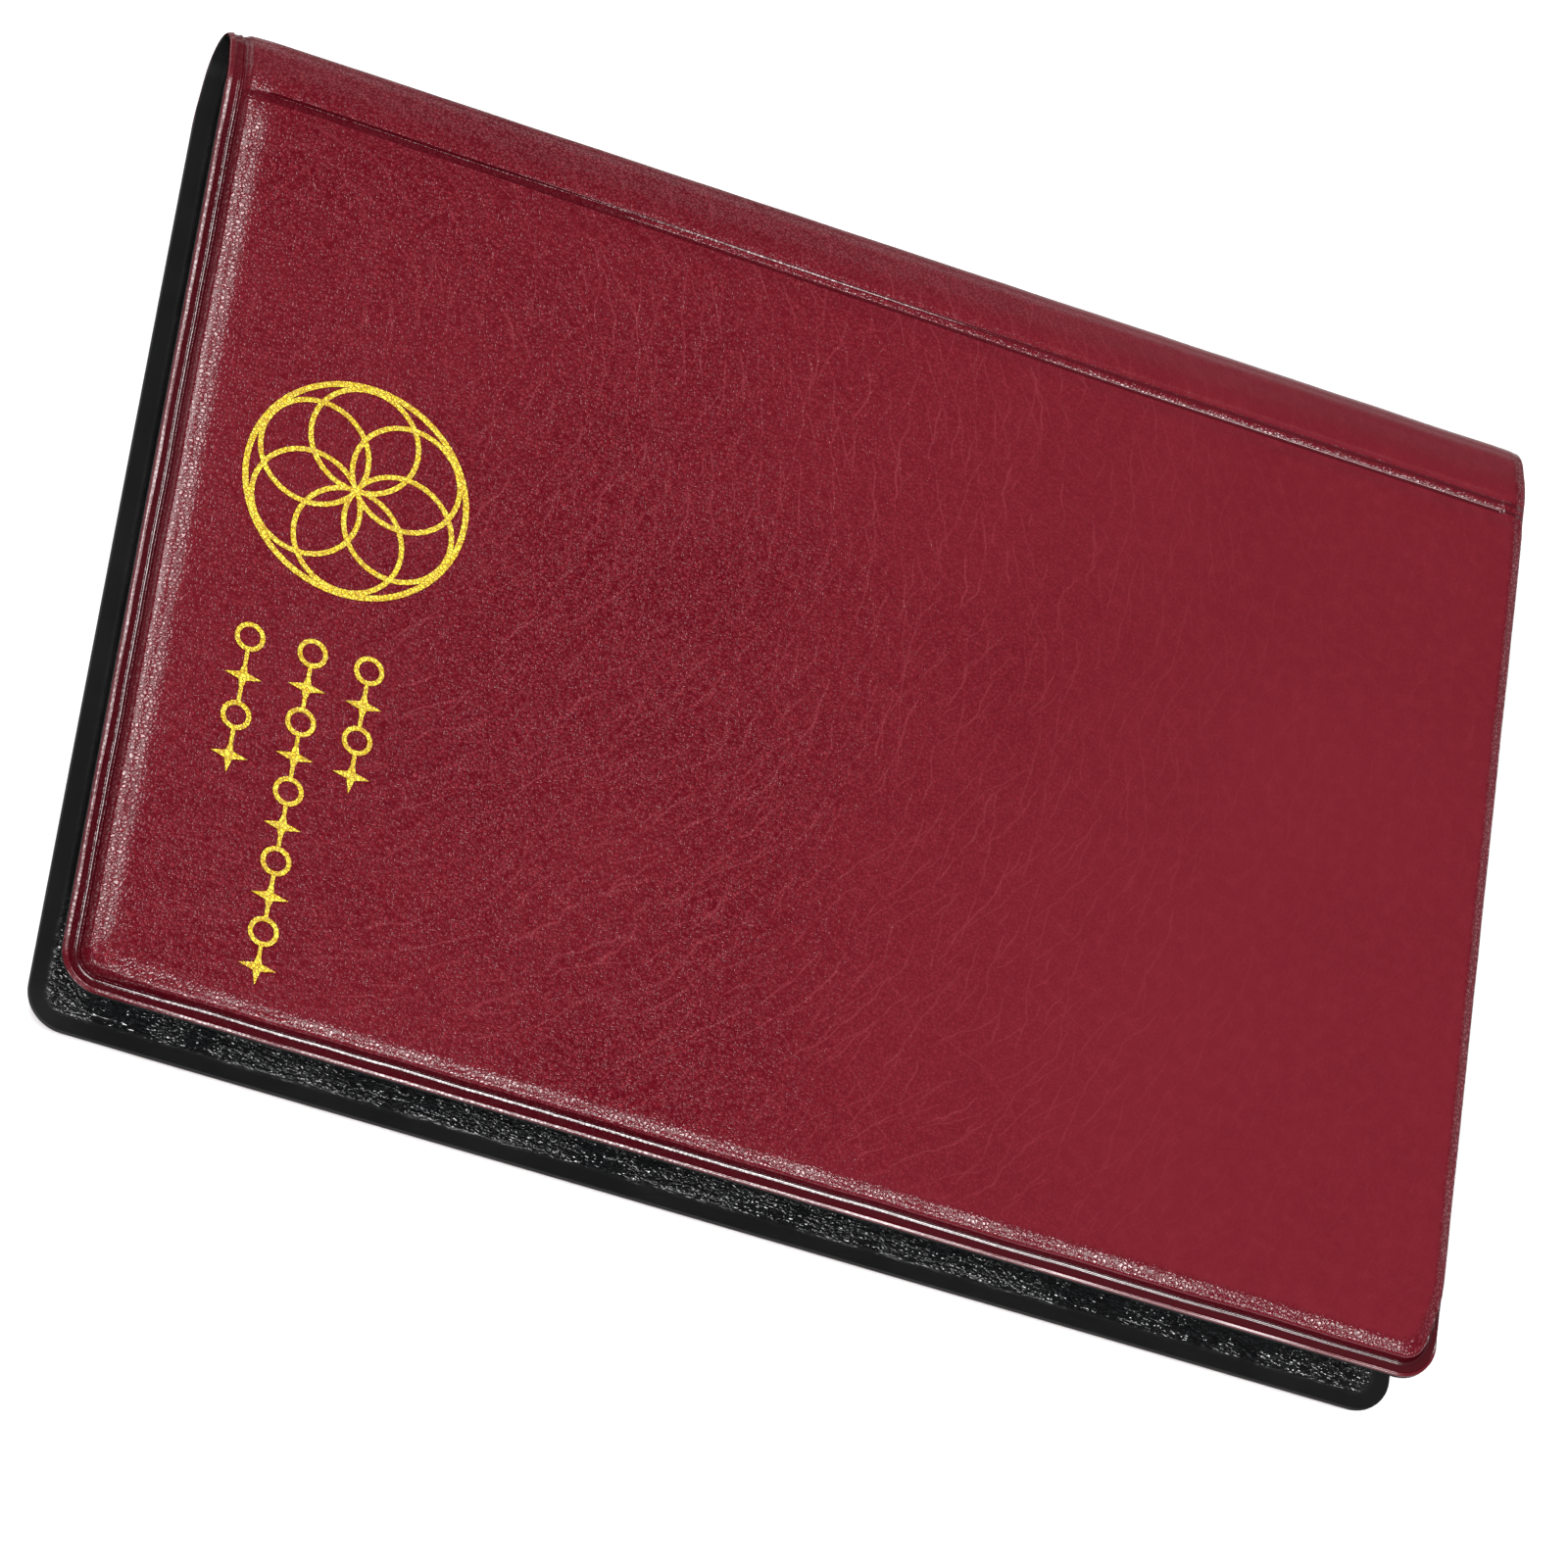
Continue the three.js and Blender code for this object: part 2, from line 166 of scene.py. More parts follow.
class Nodes:
    """Short calls for building a node tree."""

    def __init__(self, name):
        self.material = bpy.data.materials.new(name)
        self.material.use_nodes = True
        self.tree = self.material.node_tree
        self.shader = self.tree.nodes["Principled BSDF"]

    def add(self, kind, settings=(), **inputs):
        node = self.tree.nodes.new(kind)
        for key, value in settings:
            setattr(node, key, value)
        for key, value in inputs.items():
            self.put(node.inputs[key.replace("_", " ")], value)
        return node

    def put(self, socket, value):
        if isinstance(value, bpy.types.NodeSocket):
            self.tree.links.new(value, socket)
        else:
            socket.default_value = value

    def math(self, operation, a, b=None):
        node = self.tree.nodes.new("ShaderNodeMath")
        node.operation = operation
        self.put(node.inputs[0], a)
        if b is not None:
            self.put(node.inputs[1], b)
        return node.outputs[0]

    def ramp(self, value, low, high, out_low=0.0, out_high=1.0):
        node = self.tree.nodes.new("ShaderNodeMapRange")
        node.interpolation_type = "SMOOTHSTEP"
        for i, item in enumerate((value, low, high, out_low, out_high)):
            self.put(node.inputs[i], item)
        return node.outputs[0]

    def mix_color(self, factor, a, b):
        node = self.tree.nodes.new("ShaderNodeMix")
        node.data_type = "RGBA"
        self.put(node.inputs["Factor"], factor)
        self.put(node.inputs[6], a)
        self.put(node.inputs[7], b)
        return node.outputs[2]

    def attribute(self, name, output):
        node = self.add("ShaderNodeAttribute", [("attribute_name", name)])
        return node.outputs[output]

    def scaled(self, vector, scale):
        node = self.tree.nodes.new("ShaderNodeMapping")
        node.inputs["Scale"].default_value = scale
        self.put(node.inputs["Vector"], vector)
        return node.outputs[0]

    def noise(self, vector, scale, detail=2.0, rough=0.5, distortion=0.0):
        return self.add("ShaderNodeTexNoise", Vector=vector, Scale=scale, Detail=detail, Roughness=rough,
                        Distortion=distortion)

    def voronoi(self, vector, scale, feature):
        node = self.tree.nodes.new("ShaderNodeTexVoronoi")
        node.feature = feature
        self.put(node.inputs["Vector"], vector)
        node.inputs["Scale"].default_value = scale
        return node.outputs["Distance"]

    def bump(self, height, distance_m, strength):
        node = self.tree.nodes.new("ShaderNodeBump")
        node.inputs["Strength"].default_value = strength
        node.inputs["Distance"].default_value = distance_m
        self.put(node.inputs["Height"], height)
        return node.outputs[0]

    def set(self, **inputs):
        for key, value in inputs.items():
            self.put(self.shader.inputs[key.replace("_", " ")], value)


def soft_rim(n, level):
    """Specular level that fades where the surface turns away, so a thin edge doesn't mirror the floor."""
    facing = n.add("ShaderNodeLayerWeight", Blend=0.5).outputs["Facing"]
    return n.ramp(facing, 0.38, 0.66, level, 0.02)


def place_mm(n):
    """The point's place at rest in millimetres, from the record that each mesh made here carries."""
    return n.scaled(n.attribute("rest", "Vector"), (1000, 1000, 1000))


def pebbles(n, place, size, crack):
    """Rounded grains with dark cracks between them, and the distance to the nearest crack."""
    drift = n.noise(place, 1.1 / size, 1.0).outputs["Color"]
    shifted = n.add("ShaderNodeVectorMath", [("operation", "MULTIPLY_ADD")])
    n.put(shifted.inputs[0], drift)
    shifted.inputs[1].default_value = (0.7 * size, 0.7 * size, 0.7 * size)
    n.put(shifted.inputs[2], place)
    gap = n.voronoi(shifted.outputs[0], 1.0 / size, "DISTANCE_TO_EDGE")
    return n.ramp(gap, 0.0, crack)


ARC_CENTER = (-82.0, 27.6, 9.0)


def strands(n, place, spacing, lean, width, seed):
    """Thin creases side by side in a shallow arc, each broken off at random along its length."""
    arc = n.add("ShaderNodeVectorMath", [("operation", "DISTANCE")])
    n.put(arc.inputs[0], place)
    arc.inputs[1].default_value = ARC_CENTER
    split = n.add("ShaderNodeSeparateXYZ", Vector=place)
    drift = n.math("MULTIPLY", n.noise(place, 0.045, 1.0).outputs["Fac"], 3.6)
    ripple = n.math("MULTIPLY", n.noise(place, 0.28, 1.0).outputs["Fac"], 0.55)
    leaning = n.math("ADD", arc.outputs["Value"], n.math("MULTIPLY", split.outputs["Y"], lean))
    count = n.math("ADD", n.math("DIVIDE", leaning, spacing), n.math("ADD", drift, ripple))
    gap = n.math("ABSOLUTE", n.math("SUBTRACT", n.math("FRACT", count), 0.5))
    line_seed = n.math("ADD", n.math("MULTIPLY", n.math("FLOOR", count), 1.7), seed)
    spot = n.add("ShaderNodeCombineXYZ", X=n.math("MULTIPLY", split.outputs["X"], 0.06),
                 Y=n.math("MULTIPLY", split.outputs["Y"], 0.13), Z=line_seed)
    broken = n.noise(spot.outputs[0], 1.0, 2.0).outputs["Fac"]
    return n.math("MULTIPLY", n.ramp(gap, 0.0, width / spacing, 1.0, 0.0), n.ramp(broken, 0.45, 0.62))


def crease_net(n, place):
    """Long creases crossed at shallow angles by fainter ones, like the net in softly worn leather."""
    net = strands(n, place, 2.9, 0.0, 0.20, 0.0)
    for spacing, lean, width, seed, share in ((2.3, 0.30, 0.17, 11.3, 0.8), (2.6, -0.32, 0.17, 23.9, 0.8),
                                              (3.4, 1.50, 0.20, 37.1, 0.5)):
        family = n.math("MULTIPLY", strands(n, place, spacing, lean, width, seed), share)
        net = n.math("MAXIMUM", net, family)
    return net


def leather_material():
    """Worn, grained leather; by the distance from an edge it becomes the dark weld, its ridge and the shoulder."""
    n = Nodes("burgundy_vinyl_leather")
    place = place_mm(n)
    split = n.add("ShaderNodeSeparateXYZ", Vector=place)
    across, along = split.outputs["X"], split.outputs["Y"]
    edge = n.attribute("edge_mm", "Fac")
    patch = n.noise(place, 0.028, 3.0).outputs["Fac"]
    # Strength of the grain, falling off towards +X and varied in patches; it also scales the painted glints and the
    # painted shade in the cracks.
    grain_strength = n.math("MULTIPLY", n.ramp(across, -20, 58, 1.0, 0.16), n.ramp(patch, 0.25, 0.7, 1.1, 0.75))
    grains = pebbles(n, place, 0.54, 0.30)
    tooth = n.noise(place, 2.2, 2.0).outputs["Fac"]
    speck = n.noise(place, 2.5, 2.0, 0.7).outputs["Fac"]
    mottle = n.noise(place, 0.5, 3.0).outputs["Fac"]
    shoulder = n.math("MULTIPLY", n.ramp(edge, 2.0, 2.4, 0.0, 1.0), n.ramp(edge, 3.5, 5.0, 1.0, 0.0))
    vein = n.math("MULTIPLY", crease_net(n, place), n.ramp(edge, 3.0, 9.0))
    vein = n.math("MULTIPLY", vein, n.ramp(across, -80, -45, 0.55, 1.0))
    vein = n.math("MULTIPLY", vein, n.ramp(across, 0, 70, 1.0, 0.14))
    # Colour: mottled red, painted glints as brighter specks, painted shade in the cracks between the grains, creases,
    # and the dark weld over them all, which is also painted as shade on the crease's floor.
    deep = n.mix_color(n.ramp(patch, 0.3, 0.7), RED_DEEP, RED_MAIN)
    tone = n.mix_color(n.math("MULTIPLY", n.ramp(mottle, 0.4, 0.75), 0.35), deep, RED_LIGHT)
    # Painted glints: brighter specks mixed into the colour where the grain is strongest.
    lit = n.mix_color(n.math("MULTIPLY", n.ramp(speck, 0.48, 0.66), n.math("MULTIPLY", grain_strength, 0.75)), tone, RED_PAINTED_GLINT)
    gaps = n.math("MULTIPLY", n.math("SUBTRACT", 1.0, grains), n.math("MAXIMUM", grain_strength, shoulder))
    # Painted shade in the cracks between the grains, strongest on the shoulder where it shines.
    cracks = n.math("MULTIPLY", gaps, 0.60)
    crack_shaded = n.mix_color(cracks, lit, RED_CRACK_SHADE)
    scuffed = n.mix_color(n.math("MULTIPLY", vein, 0.34), crack_shaded, RED_VEIN)
    # Dark weld colour over the flange, less on the lip and weaker towards the spine; the crease's floor, given a
    # small edge distance, gets the same colour as painted shade.
    weld_dark_and_crease_shade = n.math("MULTIPLY", n.ramp(edge, 1.9, 2.3, 1.0, 0.0), n.ramp(along, 48, 60, 0.92, 0.55))
    weld_dark_and_crease_shade = n.math("MULTIPLY", weld_dark_and_crease_shade, n.ramp(edge, 0.3, 0.55, 0.45, 1.0))
    weld = n.mix_color(weld_dark_and_crease_shade, scuffed, RED_WELD_AND_CREASE_SHADE)
    # Relief: grains and creases, pressed almost flat in the weld and calmer round the spine.
    height = n.math("ADD", n.math("MULTIPLY", grains, 0.7), n.math("MULTIPLY", tooth, 0.6))
    height = n.math("ADD", height, n.math("MULTIPLY", vein, -0.3))
    calmed = n.math("MULTIPLY", n.math("MAXIMUM", grain_strength, shoulder), n.ramp(shoulder, 0.0, 1.0, 1.0, 0.6))
    relief = n.math("MULTIPLY", calmed, n.ramp(edge, 1.9, 2.4, 0.05, 1.0))
    relief = n.math("MULTIPLY", relief, n.ramp(along, 57, 62, 1.0, 0.65))
    rough = n.math("ADD", n.ramp(edge, 1.9, 2.4, 0.12, 0.22), n.math("MULTIPLY", mottle, 0.08))
    rough = n.math("SUBTRACT", rough, n.math("MULTIPLY", shoulder, 0.06))
    rough = n.math("ADD", rough, n.math("MULTIPLY", n.ramp(along, 57, 61, 0.0, 0.10), grain_strength))
    n.set(Base_Color=weld, Roughness=rough, Normal=n.bump(n.math("MULTIPLY", height, relief), 0.000066, 0.9))
    # Gloss: the weld's ridge and rim are polished, the shoulder shines, and the cracks are dull.
    polish = n.math("MULTIPLY", n.ramp(edge, 1.45, 1.6), n.ramp(edge, 1.80, 1.95, 1.0, 0.0))
    polish = n.math("MULTIPLY", polish, n.ramp(along, 52.5, 54.5, 1.0, 0.0))
    polish = n.math("MULTIPLY", polish, n.ramp(across, 10, 80, 1.0, 0.35))
    polish = n.math("MULTIPLY", polish, n.ramp(mottle, 0.3, 0.6, 0.5, 1.0))
    polish = n.math("MAXIMUM", polish, n.ramp(edge, 0.34, 0.46, 0.24, 0.0))
    shine = n.math("SUBTRACT", n.ramp(shoulder, 0.0, 1.0, 0.90, 1.25), n.math("MULTIPLY", gaps, 0.85))
    n.set(Specular_IOR_Level=n.math("MULTIPLY", soft_rim(n, 0.5), n.math("ADD", shine, polish)))
    return n.material


def lining_material():
    """Glossy black vinyl with pebbled grain, smooth and dull on the welded flange."""
    n = Nodes("black_grained_vinyl")
    place = place_mm(n)
    edge = n.attribute("edge_mm", "Fac")
    patch = n.noise(place, 0.13, 2.0).outputs["Fac"]
    grains = pebbles(n, n.scaled(place, (0.6, 1.1, 1.0)), 0.50, 0.5)
    wrinkle = n.noise(n.scaled(place, (0.35, 1.3, 1.0)), 0.7, 2.0, 0.6, 0.6).outputs["Fac"]
    tooth = n.noise(place, 2.6, 2.0).outputs["Fac"]
    base = n.mix_color(n.ramp(patch, 0.3, 0.7), BLACK_DEEP, BLACK_LIGHT)
    folds = n.math("MULTIPLY", n.ramp(wrinkle, 0.35, 0.70), 1.2)
    height = n.math("ADD", n.math("MULTIPLY", grains, 0.8), folds)
    height = n.math("ADD", height, n.math("MULTIPLY", tooth, 0.12))
    calm = n.math("MULTIPLY", n.ramp(edge, 1.8, 3.0, 0.04, 1.0), n.ramp(patch, 0.38, 0.50, 0.4, 1.05))
    split = n.add("ShaderNodeSeparateXYZ", Vector=place)
    plain_side = n.ramp(split.outputs["X"], -86, -83, 0.85, 0.0)
    plain_side = n.math("MULTIPLY", plain_side, n.ramp(split.outputs["Y"], -58, -48))
    calm = n.math("MULTIPLY", calm, n.math("SUBTRACT", n.ramp(split.outputs["X"], 0, 60, 1.0, 0.6), plain_side))
    rough = n.ramp(edge, 1.8, 3.0, 0.42, 0.09)
    n.set(Base_Color=base, Roughness=rough, Normal=n.bump(n.math("MULTIPLY", height, calm), 0.00015, 1.0))
    dull = n.math("MULTIPLY", n.ramp(grains, 0.3, 0.0), n.ramp(edge, 1.8, 3.0, 0.0, 0.7))
    shine = n.math("MULTIPLY", soft_rim(n, 0.9), n.ramp(edge, 1.8, 3.0, 0.2, 1.0))
    n.set(Specular_IOR_Level=n.math("MULTIPLY", shine, n.math("SUBTRACT", 1.0, dull)))
    return n.material


def film_material():
    """Clear film, cloudier and ribbed where it is welded; here edge_mm holds the weld's share from 0 to 1."""
    n = Nodes("clear_vinyl_film")
    place = place_mm(n)
    weld = n.attribute("edge_mm", "Fac")
    cloud = n.noise(place, 0.06, 3.0).outputs["Fac"]
    tooth = n.noise(place, 1.4, 2.0).outputs["Fac"]
    ribs = n.add("ShaderNodeTexWave", [("wave_type", "BANDS"), ("bands_direction", "DIAGONAL")],
                 Vector=place, Scale=0.9)
    tint = n.mix_color(n.ramp(cloud, 0.3, 0.7), FILM_CLEAR, FILM_MILKY)
    alpha = n.math("ADD", n.ramp(weld, 0.0, 1.0, 0.20, 0.62), n.math("MULTIPLY", cloud, 0.08))
    knurl = n.math("MULTIPLY", ribs.outputs["Fac"], weld)
    height = n.math("ADD", n.math("MULTIPLY", tooth, 0.2), n.math("MULTIPLY", knurl, 0.8))
    n.set(Base_Color=tint, Alpha=alpha, Roughness=n.ramp(weld, 0.0, 1.0, 0.10, 0.34))
    n.set(Normal=n.bump(height, 0.00008, 0.6), IOR=1.45)
    return n.material


def foil_material():
    """Worn foil. The CAD plates carry no record of their place at rest, so it goes by object coordinates."""
    n = Nodes("stamped_gold_foil")
    place = n.scaled(n.add("ShaderNodeTexCoord").outputs["Object"], (1000, 1000, 1000))
    grains = pebbles(n, place, 0.52, 0.24)
    flake = n.noise(place, 3.4, 3.0, 0.65).outputs["Fac"]
    missed = n.math("MAXIMUM", n.ramp(flake, 0.585, 0.66), n.ramp(grains, 0.45, 0.1))
    shade = n.noise(place, 1.6, 3.0).outputs["Fac"]
    gold = n.mix_color(n.ramp(shade, 0.35, 0.7), GOLD_DEEP, GOLD_LIGHT)
    dark = n.mix_color(n.math("MULTIPLY", missed, 0.75), gold, GOLD_MISSED)
    height = n.math("ADD", n.math("MULTIPLY", grains, 0.6), n.math("MULTIPLY", flake, 0.9))
    n.set(
        Base_Color=dark,
        Metallic=n.math("SUBTRACT", 0.55, n.math("MULTIPLY", missed, 0.35)),
        Roughness=n.math("ADD", 0.22, n.math("MULTIPLY", shade, 0.22)),
        Normal=n.bump(height, 0.00014, 0.9),
    )
    return n.material


def binding_material():
    n = Nodes("black_binding_vinyl")
    place = place_mm(n)
    tooth = n.noise(place, 1.8, 3.0).outputs["Fac"]
    grains = pebbles(n, place, 0.9, 0.3)
    base = n.mix_color(n.ramp(tooth, 0.35, 0.65), BINDING_DEEP, BINDING_LIGHT)
    height = n.math("ADD", n.math("MULTIPLY", tooth, 0.5), n.math("MULTIPLY", grains, 0.5))
    n.set(Base_Color=base, Roughness=n.ramp(tooth, 0.3, 0.7, 0.32, 0.5), Normal=n.bump(height, 0.0001, 0.8))
    return n.material


LEATHER = leather_material()
LINING = lining_material()
FILM = film_material()
FOIL = foil_material()
BINDING = binding_material()

# ---------------------------------------------------------------- cover surfaces

# Share of the padded height against distance from the free edge: flat flange, steep foot, even slope, level panel.
SHOULDER = [(0, 0), (1.95, 0.0), (2.02, 0.28), (2.12, 0.56), (3.0, 0.78), (3.45, 0.865), (4.0, 0.935),
            (6.0, 0.985), (7.5, 1.0), (400, 1.0)]
# Along -X the pad's shoulder starts further in and is wider: distance as its profile sees it.
WIDE_SHOULDER = [(0, 0), (1.95, 1.95), (2.85, 2.12), (4.9, 3.45), (6.4, 4.6), (8.6, 6.6), (400, 398)]
# Height of the weld's own marks above the flange: lip, fine bead, wide groove, ridge with a sloped outer face.
MARKS = [(0, -0.34), (0.04, -0.14), (0.10, -0.115), (0.16, -0.088), (0.30, -0.021), (0.36, 0.0), (0.42, -0.02),
         (0.50, -0.12), (0.57, -0.14), (1.38, -0.14), (1.44, -0.128), (1.50, -0.105), (1.70, -0.011), (1.75, 0.0),
         (1.80, -0.02), (1.88, -0.17), (2.02, -0.17), (2.12, 0.0), (400, 0.0)]
# The lines of a cover, close together over the weld and the shoulder and evenly spaced from here inwards.
EDGE_ZONE = 12
INSETS = np.concatenate([
    np.arange(0, 0.62, 0.05), np.arange(0.66, 1.34, 0.14), np.arange(1.36, 2.34, 0.055), np.arange(2.36, 4.2, 0.12),
    np.arange(4.2, 7.4, 0.3), np.arange(7.4, EDGE_ZONE, 0.7), np.linspace(EDGE_ZONE, SIDE_X, 30)])


def narrowed(inset, x, y):
    """Distance as the profile sees it: the margin is tucked under the pad along +X, the shoulder wider along -X."""
    corner = smoothstep(y, FORE_Y + 2, FORE_Y + 13)
    tucked = inset + (1.72 + 0.25 * inset) * smoothstep(x, 70, 86) * corner
    wide = smoothstep(-x, 70, 85)
    return tucked * (1 - wide) + curve_through(tucked, WIDE_SHOULDER) * wide


def wander(x, y):
    """How far the weld's lines stray from straight."""
    return 0.12 * soft_noise(x, y, 7.0, 9.0) + 0.04 * soft_noise(x, y, 3.0, 4.0)


def stray(inset):
    """Share of the wander at that inset: none on the very edge and none in the panel."""
    return smoothstep(inset, 0.1, 0.6) * (1 - smoothstep(inset, 5.0, 9.0))


def inward(x, y):
    """Unit vectors across a line of the cover, pointing away from the free edge."""
    along_x, along_y = np.gradient(x), np.gradient(y)
    size = np.maximum(np.hypot(along_x, along_y), 1e-9)
    return -along_y / size, along_x / size


# Points are closest together from the join to the first of these, and evenly spaced past the second.
FINE_Y, EVEN_Y = 53.2, 50.0


def u_line(inset, radius):
    """A line at that inset from the three free edges, from the spine side round to the spine side."""
    r = min(radius, SIDE_X - inset)
    top = np.concatenate([np.linspace(JOIN_Y, FINE_Y, 45), np.linspace(FINE_Y, EVEN_Y, 9)[1:]])
    corner_y = FORE_Y + inset + r
    leg = np.linspace(EVEN_Y, corner_y, 72)[1:]
    turn = np.linspace(0, math.pi / 2, 14)[1:]
    left_x = -SIDE_X + inset
    ys = np.concatenate([top, leg, corner_y - r * np.sin(turn)])
    xs = np.concatenate([np.full(len(top) + len(leg), left_x), left_x + r - r * np.cos(turn)])
    middle = np.linspace(left_x + r, -left_x - r, 112)[1:-1]
    x = np.concatenate([xs, middle, -xs[::-1]])
    y = np.concatenate([ys, np.full(len(middle), FORE_Y + inset), ys[::-1]])
    return x, y


# Depth across the crease, positive towards the spine: an open channel at the -X end, a ridge along it further on.
OPEN_CREASE = [(-90, 0.0), (-1.05, 0.0), (-0.88, 0.10), (-0.68, 0.50), (-0.56, 0.56), (0.28, 0.56), (0.42, 0.49),
               (0.58, 0.05), (0.64, 0.0), (90, 0.0)]
RIDGED_CREASE = [(-90, 0.0), (-1.20, 0.0), (-1.02, 0.08), (-0.82, 0.42), (-0.70, 0.46), (-0.44, 0.46), (-0.34, 0.43),
                 (-0.18, 0.340), (0.20, 0.204), (0.32, 0.170), (0.44, 0.175), (0.52, 0.22), (0.60, 0.21), (1.0, 0.11),
                 (1.38, 0.0), (90, 0.0)]
# The crease isn't quite parallel to the fold: its distance from a straight line, along its length.
CREASE_DRIFT = [(-90, 0.52), (-65, 0.42), (-30, 0.18), (35, -0.48), (70, -0.55), (90, -0.55)]


def crease_bow(x, y):
    """How far the lines near the crease are shifted along Y to follow its drift."""
    window = smoothstep(y, 51.6, 54.0) * (1 - smoothstep(y, 55.6, JOIN_Y - 0.05))
    return (curve_through(x, CREASE_DRIFT) + 0.05 * soft_noise(x, 0 * y, 3.3, 22.0)) * window


# The paint goes by the distance from an edge, and the crease's floor is painted as at this one, which gives it a
# painted shade.
CREASE_SHADE_EDGE = 1.3
# What is added to it well beside the crease, and on the polished ridge in it.
CLEAR, RIDGE_CLEAR = 24.0, 1.5
# The same against the distance from the middle of the crease, where it is an open channel.
CREASE_FADE = [(0, 0.0), (0.25, 0.50), (0.75, 1.05), (1.05, 4.0), (1.5, CLEAR), (200, CLEAR)]


def crease_clear(x, y):
    """Nothing on the crease's floor, which is thus painted with shade; more beside it and on the polished ridge."""
    off = y - CREASE_Y
    away = np.abs(off)
    firm = smoothstep(x, -60, -36)
    on_ridge = smoothstep(off, -0.38, -0.2) * (1 - smoothstep(off, 0.30, 0.46)) * smoothstep(x, -55, -15)
    beside = curve_through(away, CREASE_FADE) * (1 - firm) + CLEAR * smoothstep(away, 0.66, 1.3) * firm
    return beside + RIDGE_CLEAR * on_ridge


def crease_depth(x, y):
    """The crease beside the spine; it ends short of the side welds, with a short ridge at its -X end too."""
    run = 1 - smoothstep(np.abs(x + 0.5), SIDE_X - 3.4, SIDE_X - 2.6)
    slack = CREASE_SLACK * smoothstep(y, CREASE_Y - 4.0, CREASE_Y - 0.3)
    tick = smoothstep(x, -87.8, -87.2) * (1 - smoothstep(x, -85.2, -84.2))
    ridged = np.maximum(0.72 * smoothstep(x, -60, -36) + 0.28 * smoothstep(x, 0, 60), tick)
    off = y - CREASE_Y
    depth = curve_through(off, OPEN_CREASE) * (1 - ridged) + curve_through(off, RIDGED_CREASE) * ridged
    return slack + depth * run


PAD_COLUMNS, PAD_ROWS = 71, 49
PAD_X = np.linspace(-SIDE_X + 2.3, SIDE_X - 1.3, PAD_COLUMNS)
PAD_Y = np.linspace(FORE_Y + 2.3, CREASE_Y - 1.2, PAD_ROWS)
CLOTH_UNIT = 100.0
CLOTH_FRAMES = 25


def cloth_blank():
    """The skin over the pad as a flat cut, with its rim in the group that the weld holds."""
    gx, gy = np.meshgrid(PAD_X, PAD_Y)
    unevenness = 0.2 * np.sin(gx * 0.31 + gy * 0.17) * np.cos(gy * 0.23 - gx * 0.11)
    verts = np.stack([gx.ravel(), gy.ravel(), unevenness.ravel()], 1) / CLOTH_UNIT
    mesh = bpy.data.meshes.new("pad_blank")
    mesh.from_pydata(verts.tolist(), [], grid_faces(PAD_ROWS, PAD_COLUMNS).tolist())
    blank = bpy.data.objects.new("pad_blank", mesh)
    bpy.context.collection.objects.link(blank)
    index = np.arange(PAD_ROWS * PAD_COLUMNS).reshape(PAD_ROWS, PAD_COLUMNS)
    rim = np.unique(np.concatenate([index[0], index[-1], index[:, 0], index[:, -1]]))
    blank.vertex_groups.new(name="weld").add(rim.tolist(), 1.0, "REPLACE")
    return blank


def inflate(blank):
    """Cloth simulation: the foam pushes the welded skin, which is cut a little larger than the pad."""
    cloth = blank.modifiers.new("cloth", "CLOTH")
    cloth.point_cache.frame_end = CLOTH_FRAMES
    cloth.collision_settings.use_collision = False
    settings = cloth.settings
    settings.vertex_group_mass = "weld"
    settings.tension_stiffness = settings.compression_stiffness = 40
    settings.shear_stiffness = 20
    settings.bending_stiffness = 0.5
    settings.shrink_min = -0.01
    settings.use_pressure = True
    settings.uniform_pressure_force = 0.5
    settings.effector_weights.gravity = 0
    for frame_number in range(1, CLOTH_FRAMES + 1):
        bpy.context.scene.frame_set(frame_number)
    result = blank.evaluated_get(bpy.context.evaluated_depsgraph_get()).data
    coords = np.empty(len(result.vertices) * 3, np.float32)
    result.vertices.foreach_get("co", coords)
    bpy.context.scene.frame_set(1)
    return np.abs(coords[2::3].astype(float)).reshape(PAD_ROWS, PAD_COLUMNS)


def pad_crown():
    """How far the skin swells over its pad, from 0 at the weld to 1 at the crown."""
    blank = cloth_blank()
    height = inflate(blank)
    mesh = blank.data
    bpy.data.objects.remove(blank)
    bpy.data.meshes.remove(mesh)
    return height / height.max()


CROWN = pad_crown()


def crown_at(x, y):
    """The crown's value between the points of its grid."""
    column = np.clip((x - PAD_X[0]) / (PAD_X[1] - PAD_X[0]), 0, PAD_COLUMNS - 1.001)
    row = np.clip((y - PAD_Y[0]) / (PAD_Y[1] - PAD_Y[0]), 0, PAD_ROWS - 1.001)
    i, j = row.astype(int), column.astype(int)
    u, v = row - i, column - j
    low = CROWN[i, j] * (1 - v) + CROWN[i, j + 1] * v
    high = CROWN[i + 1, j] * (1 - v) + CROWN[i + 1, j + 1] * v
    return low * (1 - u) + high * u


